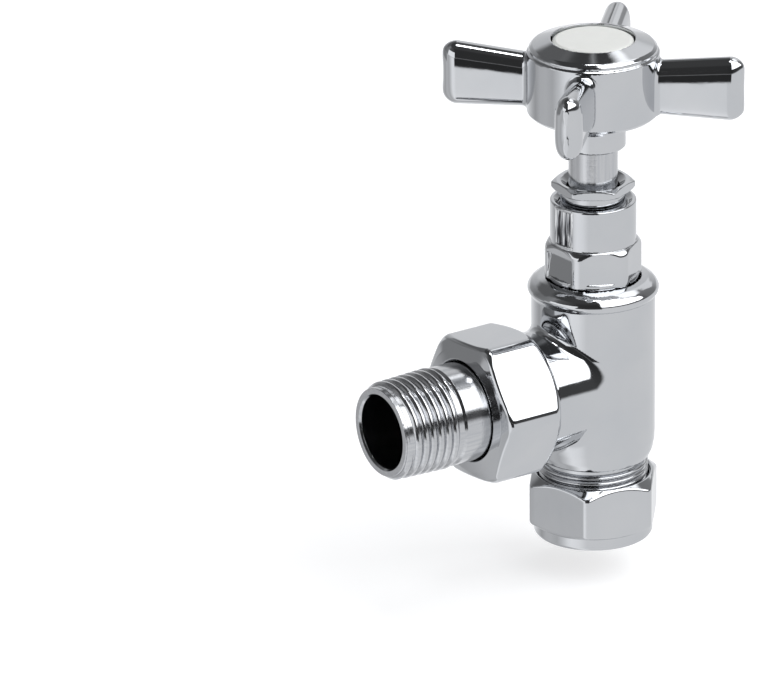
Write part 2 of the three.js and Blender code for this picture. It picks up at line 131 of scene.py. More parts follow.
def outline_distance(corners):
    """A function of (radius, height) that gives the signed distance to a closed outline."""
    places, _ = rounded(corners, steps=4)
    ends = np.roll(places, -1, axis=0)

    def distance(r, h):
        nearest = np.full(r.shape, np.inf)
        inside = np.zeros(r.shape, bool)
        for (ar, ah), (br, bh) in zip(places, ends):
            er, eh = br - ar, bh - ah
            wr, wh = r - ar, h - ah
            t = np.clip((wr * er + wh * eh) / (er * er + eh * eh), 0, 1)
            nearest = np.minimum(nearest, (wr - er * t) ** 2 + (wh - eh * t) ** 2)
            if eh:
                inside ^= ((ah > h) != (bh > h)) & (wr < er * wh / eh)
        return np.where(inside, -1, 1) * np.sqrt(nearest)

    return distance


def filled(corners):
    """Signed distance to all that lies between an outline's corners and the axis."""
    first, last = corners[0][1], corners[-1][1]
    return outline_distance([(ACROSS_AXIS, first), *corners, (ACROSS_AXIS, last)])


# ---------------------------------------------------------------- signed distances

def join(a, b, fillet):
    """Union of two distances with a round fillet between them."""
    u, v = np.maximum(fillet - a, 0), np.maximum(fillet - b, 0)
    return np.maximum(fillet, np.minimum(a, b)) - np.hypot(u, v)


def meet(a, b, edge):
    """Intersection of two distances with a round edge between them."""
    u, v = np.maximum(edge + a, 0), np.maximum(edge + b, 0)
    return np.minimum(-edge, np.maximum(a, b)) + np.hypot(u, v)


def cut(a, b, edge):
    """What is left of the first distance outside the second, with a round edge between them."""
    return meet(a, -b, edge)


def hexagon(u, v, flats, corner, edge):
    """Distance to a hexagonal bar with one corner at that many degrees from the u axis."""
    sides = []
    for i in range(3):
        angle = math.radians(corner + 30 + 60 * i)
        sides.append(np.abs(u * math.cos(angle) + v * math.sin(angle)) - flats / 2)
    return meet(meet(sides[0], sides[1], edge), sides[2], edge)


# ---------------------------------------------------------------- meshes

def gradient(field, points, reach):
    """A field's slope at points, measured over the reach to either side."""
    slope = np.empty_like(points)
    for axis in range(3):
        step = np.zeros(3)
        step[axis] = reach
        ahead, behind = points + step, points - step
        slope[:, axis] = (field(*ahead.T) - field(*behind.T)) / (2 * reach)
    return slope


def skin(field, low, high, step):
    """Quads on the surface where a signed distance is zero, with exact places and normals."""
    step *= COARSE
    axes = [np.arange(a - 1.5 * step, b + 2.5 * step, step) for a, b in zip(low, high)]

    # One value stands for each block of grid points, except in the blocks that the surface may
    # pass through: from a block's middle to its corner is 0.87 of its size, and 1.15 leaves room.
    block = 6
    centres = []
    for axis in axes:
        blocks = -(-len(axis) // block)
        centres.append(axis[0] + step * (block * np.arange(blocks) + (block - 1) / 2))
    middles = np.meshgrid(*centres, indexing="ij")
    value = field(*(m.ravel() for m in middles)).reshape(middles[0].shape)
    for axis in range(3):
        value = np.repeat(value, block, axis=axis)
    value = value[tuple(slice(len(a)) for a in axes)].copy()
    near = np.nonzero(np.abs(value) < 1.15 * block * step)
    value[near] = field(*(a[i] for a, i in zip(axes, near)))
    inside = value < 0

    # Each cell that the surface crosses gets a point, at the mean of the crossings on its edges
    def corner(grid, offset):
        return grid[tuple(slice(o, o + n - 1) for o, n in zip(offset, grid.shape))]

    offsets = [(i, j, k) for i in (0, 1) for j in (0, 1) for k in (0, 1)]
    count = sum(corner(inside, o).astype(np.int8) for o in offsets)
    active = (count > 0) & (count < 8)
    cells = np.array(np.nonzero(active)).T
    number = np.full(active.shape, -1)
    number[active] = np.arange(len(cells))
    total, hits = np.zeros(cells.shape), np.zeros(len(cells))
    for a in offsets:
        for axis in range(3):
            if a[axis]:
                continue
            b = tuple(o + (n == axis) for n, o in enumerate(a))
            va, vb = value[tuple((cells + a).T)], value[tuple((cells + b).T)]
            crossed = (va < 0) != (vb < 0)
            share = np.where(crossed, va / np.where(crossed, va - vb, 1), 0)
            place = np.array(a) + share[:, None] * (np.array(b) - np.array(a))
            total += crossed[:, None] * place
            hits += crossed
    points = np.array([a[0] for a in axes]) + step * (cells + total / hits[:, None])

    # Each grid edge that the surface crosses gets a quad through the four cells around it
    quads = []
    for axis in range(3):
        first, second = (axis + 1) % 3, (axis + 2) % 3
        ahead = [slice(1, -1)] * 3
        ahead[axis] = slice(0, -1)
        beyond = list(ahead)
        beyond[axis] = slice(1, None)
        here, there = inside[tuple(ahead)], inside[tuple(beyond)]
        at = np.array(np.nonzero(here != there)).T
        base = at.copy()
        base[:, first] += 1
        base[:, second] += 1
        outward = here[tuple(at.T)]
        around = []
        for da, db in ((1, 1), (0, 1), (0, 0), (1, 0)):
            cell = base.copy()
            cell[:, first] -= da
            cell[:, second] -= db
            around.append(number[tuple(cell.T)])
        ring = np.array(around).T
        ring[~outward] = ring[~outward][:, ::-1]
        quads.append(ring)
    quads = np.concatenate(quads)

    # Newton's steps bring the points onto the surface; where the slope fades they stay bounded
    for _ in range(4):
        slope = gradient(field, points, reach=0.02)
        steepness = np.maximum(np.sum(slope**2, 1), 0.25)
        move = field(*points.T)[:, None] * slope / steepness[:, None]
        points -= np.clip(move, -0.5 * step, 0.5 * step)
    normals = gradient(field, points, reach=0.06)
    return points, quads, normals / np.linalg.norm(normals, axis=1)[:, None]


def piece(name, points, faces, normals, body, material, slot, replaces=()):
    """A smooth mesh piece that rides on a CAD body."""
    mesh = bpy.data.meshes.new(name)
    mesh.from_pydata(np.asarray(points) * MM, [], faces)
    mesh.polygons.foreach_set("use_smooth", np.ones(len(mesh.polygons), bool))
    mesh.update()
    mesh.normals_split_custom_set_from_vertices(np.asarray(normals))
    mesh.materials.append(material)
    made = bpy.data.objects.new(name, mesh)
    bpy.context.scene.collection.objects.link(made)
    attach(made, body)
    if replaces:
        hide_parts(*replaces)
    return made


def cast(name, field, low, high, step, **about):
    """A piece meshed from a signed distance, in cells of the given step."""
    points, quads, normals = skin(field, low, high, step)
    return piece(name, points, quads.tolist(), normals, **about)


def about_axis(r, angle, height, along_branch):
    """Places for cylinder coordinates about the barrel's axis or the branch's."""
    if along_branch:
        return np.array([height + 0 * r * angle, r * np.cos(angle), BRANCH_Z + r * np.sin(angle)]).T
    return np.array([r * np.cos(angle), r * np.sin(angle), height + 0 * r * angle]).T


def direction_about(nr, angle, nh, along_branch):
    """The same for directions, from their parts away from the axis and along it."""
    if along_branch:
        return np.array([nh + 0 * angle, nr * np.cos(angle), nr * np.sin(angle)]).T
    return np.array([nr * np.cos(angle), nr * np.sin(angle), nh + 0 * angle]).T


def wound(points, faces, normals):
    """The faces, turned round if they look against the normals."""
    a, b, c = (points[[face[i] for face in faces]] for i in range(3))
    flat = np.cross(b - a, c - a)
    if np.sum(flat * normals[[face[0] for face in faces]]) < 0:
        return [face[::-1] for face in faces]
    return faces


def lathe(name, corners, along_branch=False, segments=128, small=0.12, **about):
    """A turned piece from an outline of (radius, height) corners."""
    profile, slopes = rounded(corners, small)
    is_open = corners[0][0] == 0
    points, normals, rows = [], [], []
    angles = 2 * np.pi * np.arange(segments) / segments
    for (r, h), (nr, nh) in zip(profile, slopes):
        on_axis = r < 1e-6
        angle = angles[:1] if on_axis else angles
        start = len(points)
        points.extend(about_axis(r, angle, h, along_branch))
        normals.extend(direction_about(0 if on_axis else nr, angle, nh, along_branch))
        rows.append([start] * segments if on_axis else list(range(start, start + segments)))
    faces = []
    pairs = list(zip(rows, rows[1:])) + ([] if is_open else [(rows[-1], rows[0])])
    for lower, upper in pairs:
        for i in range(segments):
            j = (i + 1) % segments
            face = list(dict.fromkeys([lower[i], lower[j], upper[j], upper[i]]))
            if len(face) > 2:
                faces.append(face)
    points, normals = np.array(points), np.array(normals)
    normals /= np.linalg.norm(normals, axis=1)[:, None]
    return piece(name, points, wound(points, faces, normals), normals, **about)


def thread(name, start, end, pitch, crest, root, along_branch=False, outward=1, phase=0.0, **about):
    """A right-hand thread: one ridge wound from start to end, sunk into its core.

    crest and root give the radius at a height. The ridge runs out smoothly at both ends.
    """
    per_turn = 96
    run_out = 0.3 * per_turn
    sunk = 0.25         # the ridge's ends sink this many thread depths below the root
    turns = (end - start) / pitch
    steps = int(turns * per_turn)
    # The ridge's section: along the axis in pitches, and away from the root in thread depths
    shape = [(-0.5, -0.35), (-0.5, 0.0), (-0.36, 0.4), (-0.22, 0.82), (-0.12, 0.97), (0.0, 1.0),
             (0.12, 0.97), (0.22, 0.82), (0.36, 0.4), (0.5, 0.0), (0.5, -0.35)]
    across, rise = np.array(shape).T
    points, faces = [], []
    for i in range(steps + 1):
        angle = 2 * math.pi * i / per_turn + phase
        height = start + pitch * i / per_turn
        fade = min(1.0, min(i, steps - i) / run_out)
        fade = fade * fade * (3 - 2 * fade)
        depth = abs(crest(height) - root(height))
        lift = np.where(rise > 0, rise * fade - sunk * (1 - fade), rise) * depth
        r = root(height) + outward * lift
        points.extend(about_axis(r, np.full(len(r), angle), height + across * pitch, along_branch))
        if i:
            a, b = (i - 1) * len(shape), i * len(shape)
            for k in range(len(shape)):
                n = (k + 1) % len(shape)
                faces.append([a + k, a + n, b + n, b + k])
    last = steps * len(shape)
    faces.append(list(range(len(shape)))[::-1])
    faces.append(list(range(last, last + len(shape))))
    points = np.array(points)
    mesh = bpy.data.meshes.new("loose")
    mesh.from_pydata(points, [], faces)
    mesh.update()
    normals = np.array([v.normal for v in mesh.vertices])
    bpy.data.meshes.remove(mesh)

    # A face on the crest, eight steps in, tells whether the faces look away from the metal
    first = points[faces[len(shape) * 8 + 4]]
    flat = np.cross(first[1] - first[0], first[2] - first[0])
    middle = first.mean(axis=0)
    on_axis = np.array([middle[0], 0, BRANCH_Z]) if along_branch else np.array([0, 0, middle[2]])
    spoke = middle - on_axis
    if (flat @ spoke) * outward < 0:
        faces = [face[::-1] for face in faces]
        normals = -normals
    return piece(name, points, faces, normals, **about)


# ---------------------------------------------------------------- materials

# A noise's values lie mostly between these two
NOISE_LOW, NOISE_HIGH = 0.3, 0.7


class Tree:
    """Short hand for building a node tree whose patterns follow one kind of coordinates."""

    def __init__(self, tree, coordinates):
        self.tree = tree
        self.place = self.add("ShaderNodeTexCoord").outputs[coordinates]

    def feed(self, socket, value):
        """Sets an input to a plain value, or links another node's output to it."""
        if isinstance(value, bpy.types.NodeSocket):
            self.tree.links.new(value, socket)
        else:
            socket.default_value = value

    def add(self, kind, inputs=None, **settings):
        """A new node, with values for its inputs by their name or number."""
        node = self.tree.nodes.new(kind)
        for key, value in settings.items():
            setattr(node, key, value)
        for key, value in (inputs or {}).items():
            self.feed(node.inputs[key], value)
        return node

    def maths(self, operation, *values):
        inputs = dict(enumerate(values))
        return self.add("ShaderNodeMath", inputs, operation=operation).outputs["Value"]

    def mix(self, factor, first, second):
        """A colour between two. The node's colour sockets share their names, so they go by number."""
        inputs = {"Factor": factor, 6: first, 7: second}
        return self.add("ShaderNodeMix", inputs, data_type="RGBA").outputs[2]

    def along(self, direction):
        """How far the place lies along a direction."""
        inputs = {0: self.place, 1: direction}
        return self.add("ShaderNodeVectorMath", inputs, operation="DOT_PRODUCT").outputs["Value"]

    def ramp(self, value, *stops):
        """A colour for a value, from stops of position and colour."""
        node = self.add("ShaderNodeValToRGB", {"Fac": value})
        elements = node.color_ramp.elements
        for element, (position, colour) in zip(elements, (stops[0], stops[-1])):
            element.position = position
            element.color = (*colour, 1)
        for position, colour in stops[1:-1]:
            elements.new(position).color = (*colour, 1)
        return node.outputs["Color"]


class Surface(Tree):
    """A new material, with patterns in object coordinates."""

    def __init__(self, name):
        self.material = bpy.data.materials.new(name)
        self.material.use_nodes = True
        super().__init__(self.material.node_tree, "Object")
        self.shader = self.tree.nodes["Principled BSDF"]

    def stretched(self, scale):
        """Object coordinates scaled along each axis."""
        inputs = {"Vector": self.place, "Scale": scale}
        return self.add("ShaderNodeMapping", inputs).outputs["Vector"]

    def noise(self, per_metre, detail=3.0, vector=None, roughness=0.5):
        inputs = {"Vector": vector or self.place, "Scale": per_metre, "Detail": detail,
                  "Roughness": roughness}
        return self.add("ShaderNodeTexNoise", inputs).outputs["Fac"]

    def spread(self, noise, low, high):
        """A noise as a value from low to high."""
        inputs = {"Value": noise, "From Min": NOISE_LOW, "From Max": NOISE_HIGH, "To Min": low,
                  "To Max": high}
        return self.add("ShaderNodeMapRange", inputs).outputs["Result"]

    def shade(self, noise, dark, light):
        """A noise as a colour from dark to light."""
        return self.ramp(noise, (NOISE_LOW, dark), (NOISE_HIGH, light))

    def bump(self, height, strength, distance, after=None):
        """Normals bumped by a height, on top of those of an earlier bump if one is given."""
        inputs = {"Height": height, "Strength": strength, "Distance": distance}
        if after is not None:
            inputs["Normal"] = after
        return self.add("ShaderNodeBump", inputs).outputs["Normal"]

    def set(self, **inputs):
        """Feeds the shader, whose inputs are named with _ for a space, and gives the material."""
        for key, value in inputs.items():
            self.feed(self.shader.inputs[key.replace("_", " ")], value)
        return self.material


def plating(n):
    """The waviness, haze and colour of chrome plate that was polished by hand."""
    waviness = n.bump(n.noise(160, 2.0), strength=0.08, distance=0.0004)
    haze = n.spread(n.noise(420, 4.0), 0.035, 0.085)
    colour = n.shade(n.noise(90, 2.0), (0.60, 0.613, 0.632), (0.635, 0.643, 0.657))
    return waviness, haze, colour


def polished_chrome():
    """Plated casting: nearly a mirror, with faint waviness, haze and fine grain."""
    n = Surface("polished_chrome")
    waviness, haze, colour = plating(n)
    grain = n.bump(n.noise(2600), strength=0.035, distance=0.00005, after=waviness)
    return n.set(Base_Color=colour, Metallic=1.0, Roughness=haze, Normal=grain)


def milled_chrome():
    """The bonnet's plating, with the cutter's coarse marks under it on the sleeve's two flats, and a
    painted reflection of dark and bright streaks in the flats' colour.
    """
    n = Surface("milled_chrome")
    waviness, haze, plain = plating(n)
    reach = n.maths("ABSOLUTE", n.along((math.cos(FLAT_TURN), math.sin(FLAT_TURN), 0)))
    off_plane = n.maths("ABSOLUTE", n.maths("SUBTRACT", reach, FLAT_REACH * MM))
    in_plane = n.maths("LESS_THAN", off_plane, 0.04 * MM)
    on_sleeve = n.maths("GREATER_THAN", n.along((0, 0, 1)), (BONNET_HEX_TOP + 0.2) * MM)
    on_flat = n.maths("MULTIPLY", in_plane, on_sleeve)
    cut_marks_and_painted_streaks = n.noise(1.0, 2.0, n.stretched((900, 900, 90)), 0.6)
    cuts = n.bump(n.maths("MULTIPLY", cut_marks_and_painted_streaks, on_flat), strength=1.0, distance=0.0012, after=waviness)
    # Painted reflection: on the flats the colour runs from near black to near white along the cut marks,
    # standing in for the dark and bright bars that the flats mirror
    painted_reflection_streaks = n.ramp(cut_marks_and_painted_streaks, (0.44, (0.03, 0.03, 0.035)), (0.5, (0.4, 0.41, 0.43)),
                      (0.6, (0.95, 0.96, 0.97)))
    colour = n.mix(on_flat, plain, painted_reflection_streaks)
    return n.set(Base_Color=colour, Metallic=1.0, Roughness=haze, Normal=cuts)


def turned_chrome(name, along_branch):
    """Plated turned metal: fine rings left by the tool, and a few streaks."""
    n = Surface(name)
    ring_scale = (9000, 500, 500) if along_branch else (500, 500, 9000)
    streak_scale = (60, 1600, 1600) if along_branch else (1600, 1600, 60)
    rings = n.noise(1.0, 3.0, n.stretched(ring_scale))
    streaks = n.noise(1.0, 2.0, n.stretched(streak_scale))
    ringed = n.bump(rings, strength=0.16, distance=0.00006)
    normal = n.bump(streaks, strength=0.04, distance=0.00006, after=ringed)
    haze = n.spread(rings, 0.10, 0.2)
    colour = n.shade(streaks, (0.55, 0.56, 0.58), (0.63, 0.636, 0.648))
    return n.set(Base_Color=colour, Metallic=1.0, Roughness=haze, Normal=normal)


def bare_metal(name, dark, light, roughness):
    """Unplated metal: turned rings and stains."""
    n = Surface(name)
    rings = n.noise(1.0, 3.0, n.stretched((700, 700, 7000)))
    stains = n.noise(350, 4.0)
    normal = n.bump(rings, strength=0.25, distance=0.00006)
    haze = n.spread(stains, roughness - 0.07, roughness + 0.1)
    return n.set(Base_Color=n.shade(stains, dark, light), Metallic=1.0, Roughness=haze, Normal=normal)


def soft_material(name, dark, light, roughness, grain, bump):
    """Rubber or plastic: mottled, with a grain of so many to the metre."""
    n = Surface(name)
    mottle = n.noise(500, 3.0)
    normal = n.bump(n.noise(grain, 4.0), strength=bump, distance=0.00008)
    haze = n.spread(n.noise(900, 3.0), roughness - 0.06, roughness + 0.06)
    return n.set(Base_Color=n.shade(mottle, dark, light), Roughness=haze, Normal=normal)


CHROME = polished_chrome()
TURNED = turned_chrome("turned_chrome", False)
TURNED_TAIL = turned_chrome("turned_chrome_tail", True)
BRASS = bare_metal("bare_brass", (0.55, 0.38, 0.15), (0.68, 0.5, 0.24), 0.3)
COPPER = bare_metal("bare_copper", (0.48, 0.2, 0.1), (0.66, 0.33, 0.19), 0.34)
STEEL = bare_metal("zinc_steel", (0.46, 0.47, 0.48), (0.6, 0.6, 0.6), 0.32)
RUBBER = soft_material("black_rubber", (0.012, 0.012, 0.013), (0.03, 0.03, 0.032), 0.6, 2400, 0.3)
PTFE = soft_material("white_ptfe", (0.72, 0.71, 0.67), (0.8, 0.79, 0.76), 0.5, 1500, 0.2)
CAP = soft_material("cap_enamel", (0.87, 0.875, 0.835), (0.89, 0.895, 0.855), 0.34, 500, 0.02)
MATERIALS = {"chrome": CHROME, "machined_chrome": TURNED, "brass": BRASS, "copper": COPPER,
             "steel": STEEL, "rubber": RUBBER, "packing": PTFE, "cap_plastic": CAP}


# ---------------------------------------------------------------- valve body

def make_body():
    foot, top = BODY_LOW[2], BODY_HIGH[2]
    seat = BODY_HIGH[0]
    bead = -BODY_LOW[0]
    barrel_foot, barrel = foot + 11.5, 12.9
    barrel_outline = filled([
        (10.3, foot, 0.3), (10.6, foot + 0.5, 0.3), (10.6, barrel_foot, 0.15),
        (11.75, barrel_foot, 0.35), (12.45, barrel_foot + 1.6, 2), (12.8, barrel_foot + 3.6, 3),
        (barrel, barrel_foot + 5.5, 4), (barrel, top - 3.95, 0.06), (13.3, top - 3.5, 0.6),
        (bead, top - 2.9, 1.4), (bead, top - 2.15, 1.4), (12.95, top - 1.1, 2.2),
        (11.6, top - 0.3, 2.2), (10.2, top, 1),
    ])
    branch_outline = filled([
        (12.6, 3), (12.6, 17, 0.3), (12.1, 17.4, 0.2), (12.1, seat - 0.4, 0.2), (11.7, seat, 0.2),
    ])
    waterway_outline = filled([
        (9.9, foot - PAST), (9.75, foot, 0.15), (PIPE_BORE, foot + 2.8), (PIPE_BORE, foot + 10),
        (6.2, foot + 10), (6.2, foot + 19.9, 0.2), (7.3, foot + 19.9, 0.2), (7.8, foot + 18.5, 0.2),
        (9, foot + 18.5, 0.4), (9, top - 10.9), (9.9, top - 10.3), (9.9, top + PAST),
    ])
    outlet_outline = filled([(8, 0), (8, seat - 5.5), (10.9, seat), (10.9, seat + PAST)])

    def field(x, y, z):
        r, across = np.hypot(x, y), np.hypot(y, z - BRANCH_Z)
        outside = join(barrel_outline(r, z), branch_outline(across, x), fillet=1.5)
        inside = np.minimum(waterway_outline(r, z), outlet_outline(across, x))
        return cut(outside, inside, edge=0.15)

    cast("body_casting", field, BODY_LOW, BODY_HIGH, step=0.36, body="valve", material=CHROME,
         slot="chrome", replaces=["body"])
    thread("body_pipe_thread", foot + 0.9, barrel_foot - 0.5, pitch=1.25, crest=lambda h: 11.45,
           root=lambda h: 10.62, body="valve", material=TURNED, slot="chrome")
    thread("body_union_thread", 18.3, seat - 0.4, pitch=1.5, crest=lambda h: 13.0,
           root=lambda h: 12.12, along_branch=True, body="valve", material=TURNED_TAIL, slot="chrome")


def make_compression_nut():
    foot, top = NUT_LOW[2], NUT_HIGH[2]
    outside_outline = filled([
        (12.2, foot, 0.45), (12.45, foot + 0.6, 0.3), (12.45, foot + 2.6, 0.1),
        (14.6, foot + 3.7, 0.9), (14.95, foot + 5, 0.9), (14.95, top - 1.9, 0.5), (12.4, top, 0.4),
    ])
    bore_outline = filled([
        (PIPE_BORE, foot - PAST), (PIPE_BORE, foot + 2.6), (8.6, foot + 2.6), (9.4, foot + 4.4),
        (11.75, foot + 4.4), (11.75, top - 0.5), (12.2, top + 0.1), (12.2, top + PAST),
    ])

    def field(x, y, z):
        r = np.hypot(x, y)
        block = hexagon(x, y, flats=25.6, corner=50, edge=0.9)
        shape = meet(block, outside_outline(r, z), edge=0.35)
        return cut(shape, bore_outline(r, z), edge=0.15)

    cast("compression_nut_forging", field, NUT_LOW, NUT_HIGH, step=0.25, body="compression_nut",
         material=CHROME, slot="chrome", replaces=["compression_nut"])
    low, high = OLIVE_LOW[2], OLIVE_HIGH[2]
    lathe("olive_ring", [(PIPE_BORE, low), (8.3, low), (8.85, low + 1.2, 0.3), (8.85, low + 2, 0.3),
                         (8, high), (PIPE_BORE, high)],
          body="olive", material=COPPER, slot="copper", replaces=["olive"])


def make_union_nut():
    back, front = UNION_LOW[0], UNION_HIGH[0]
    outside_outline = filled([
        (14.6, back, 0.3), (16.95, back + 1.9, 0.8), (16.95, front - 2.2, 1.2),
        (15.3, front - 0.95, 1), (13.2, front - 0.35, 2), (10.9, front, 0.2),
    ])
    bore_outline = filled([
        (13.35, back - PAST), (13.35, front - 6.4), (12.7, front - 6.4), (12.7, front - 3.3),
        (10.8, front - 3.3), (10.8, front + PAST),
    ])

    def field(x, y, z):
        across = np.hypot(y, z - BRANCH_Z)
        block = hexagon(y, z - BRANCH_Z, flats=29.2, corner=5, edge=1.6)
        shape = meet(block, outside_outline(across, x), edge=0.7)
        return cut(shape, bore_outline(across, x), edge=0.15)

    cast("union_nut_forging", field, UNION_LOW, UNION_HIGH, step=0.25, body="union_nut",
         material=CHROME, slot="chrome", replaces=["union_nut"])


def make_tail():
    nose, end = TAIL_LOW[0], TAIL_HIGH[0]
    collar = end - 13.8
    crest, depth = 10.65, 0.7
    core = crest - depth

    def radius(height):
        """The crest's, on a taper of 1 in 16 on the diameter."""
        return crest - (height - collar) / 32

    last = end - 0.9
    lathe("tail_tube", [
        (7.8, nose), (8.2, nose), (8.75, nose + 1.2), (8.3, nose + 1.2), (8.3, nose + 2.7),
        (9.6, nose + 2.7), (10.3, nose + 4), (10.3, nose + 4.7), (12.3, nose + 4.7, 0.2),
        (12.3, nose + 7.5, 0.2), (10.4, nose + 7.5, 0.3), (10.4, collar - 0.9, 0.15),
        (core, collar - 0.35), (radius(last) - depth, last), (9.45, last, 0.05), (9.35, end, 0.12),
        (8.15, end, 0.12), (7.8, end - 0.5),
    ], along_branch=True, segments=160, body="tail", material=TURNED_TAIL, slot="machined_chrome",
          replaces=["tail_piece"])
    thread("tail_thread", collar - 0.1, last - 0.15, pitch=1.814, crest=radius,
           root=lambda h: radius(h) - depth, along_branch=True, body="tail", material=TURNED_TAIL,
           slot="machined_chrome")


def make_bonnet():
    foot, top = BONNET_LOW[2], BONNET_HIGH[2]
    hex_foot, hex_top = foot + 9.75, BONNET_HEX_TOP
    screwed_outline = filled([
        (8.8, foot, 0.2), (9.3, foot + 0.5, 0.2), (9.3, foot + 7), (8.4, foot + 7),
        (8.4, foot + 8.8), (9.6, foot + 8.8), (9.6, hex_foot + 1),
    ])
    cone_outline = filled([(10.4, hex_foot, 0.3), (10.4, hex_top - 1.3, 1), (9.3, hex_top, 0.3)])
    sleeve_outline = filled([(8.95, hex_top - 2), (8.95, top, 0.35)])
    bore_outline = filled([
        (6.2, foot - PAST), (6.2, foot + 16), (5.5, foot + 16), (5.5, foot + 18.4),
        (7.3, foot + 18.4), (7.3, top - 0.9, 0.2), (8.2, top, 0.25), (8.3, top + PAST),
    ])

    # The hexagon's face on this side is pressed in, and the pocket's floor leans back
    pressed = math.radians(5)
    floor_reach, lean = 9.02, 0.13      # the floor's reach from the axis at its foot, and its slope
    floor_foot, middle = 0.7, 3.4       # above the hexagon's foot
    half_width, half_height = 3.9, 2.7
    flat_half_height = 3.75

    def field(x, y, z):
        r = np.hypot(x, y)
        block = meet(hexagon(x, y, flats=18.3, corner=35, edge=1.3), cone_outline(r, z), edge=0.35)
        facing = x * math.cos(pressed) + y * math.sin(pressed)
        beside = y * math.cos(pressed) - x * math.sin(pressed)
        pocket_floor = floor_reach - lean * (z - hex_foot - floor_foot) - facing
        pocket = meet(pocket_floor, np.abs(beside) - half_width, edge=0.3)
        pocket = meet(pocket, np.abs(z - hex_foot - middle) - half_height, edge=0.3)
        block = cut(block, pocket, edge=0.25)
        sleeve = sleeve_outline(r, z)
        flats = np.abs(x * math.cos(FLAT_TURN) + y * math.sin(FLAT_TURN)) - FLAT_REACH
        above_below = flat_half_height - np.abs(z - (hex_top + top) / 2)
        sleeve = meet(sleeve, join(flats, above_below, fillet=0.1), edge=0.08)
        whole = join(join(block, sleeve, fillet=0.15), screwed_outline(r, z), fillet=0.1)
        return cut(whole, bore_outline(r, z), edge=0.12)

    cast("bonnet_casting", field, BONNET_LOW, BONNET_HIGH, step=0.22, body="valve",
         material=milled_chrome(), slot="chrome", replaces=["bonnet"])
    thread("bonnet_gland_thread", foot + 19, top - 0.9, pitch=1.0, crest=lambda h: 7.02,
           root=lambda h: 7.32, outward=-1, body="valve", material=TURNED, slot="chrome")


def make_gland_nut():
    foot, top = GLAND_LOW[2], GLAND_HIGH[2]
    hex_foot = top - 2
    outside_outline = filled([
        (7.9, hex_foot, 0.15), (8.75, hex_foot + 0.45, 0.3), (8.75, top - 0.5, 0.3), (7.6, top, 0.2),
    ])
    skirt_outline = filled([(6.75, foot, 0.2), (6.75, top - 1)])
    bore_outline = filled([(5.5, foot - PAST), (5.5, top - 1.25, 0.1), (6.75, top, 0.15), (7.4, top + 2)])

    def field(x, y, z):
        r = np.hypot(x, y)
        block = hexagon(x, y, flats=15.2, corner=25.6, edge=0.18)
        head = meet(block, outside_outline(r, z), edge=0.15)
        return cut(np.minimum(head, skirt_outline(r, z)), bore_outline(r, z), edge=0.12)

    cast("gland_nut_forging", field, GLAND_LOW, GLAND_HIGH, step=0.18, body="gland_nut", material=CHROME,
         slot="chrome", replaces=["gland_nut"])
    thread("gland_nut_thread", foot + 0.4, hex_foot - 3.0, pitch=1.0, crest=lambda h: 6.98,
           root=lambda h: 6.74, phase=math.pi, body="gland_nut", material=TURNED, slot="chrome")


def make_spindle():
    foot, top = SPINDLE_LOW[2], SPINDLE_HIGH[2]
    shoulder = top - 12.5
    half_square = 3.3
    shaft_outline = filled([
        (5.1, foot, 0.3), (5.1, foot + 3), (5.6, foot + 3.7), (5.6, foot + 14.6), (5.1, foot + 15.3),
        (5.1, shoulder, 0.3),
    ])
    # The bore ends in the drill's cone, so this outline doesn't close at a level
    bore_outline = outline_distance([
        (ACROSS_AXIS, foot - PAST), (2.9, foot - PAST), (2.9, foot + 4.3), (3.5, foot + 4.3),
        (3.5, foot + 5.5), (2.9, foot + 5.5), (2.9, foot + 8.4), (ACROSS_AXIS, foot + 10.4),
    ])
    screw_outline = filled([(2.25, shoulder + 3), (2.25, top + PAST)])

    def field(x, y, z):
        r = np.hypot(x, y)
        square = meet(np.abs(x) - half_square, np.abs(y) - half_square, edge=0.3)
        square = meet(square, np.maximum(shoulder - 2 - z, z - top), edge=0.3)
        whole = np.minimum(shaft_outline(r, z), square)
        return cut(cut(whole, bore_outline(r, z), edge=0.1), screw_outline(r, z), edge=0.1)

    cast("spindle_shaft", field, SPINDLE_LOW, SPINDLE_HIGH, step=0.22, body="handle", material=TURNED,
         slot="machined_chrome", replaces=["spindle"])


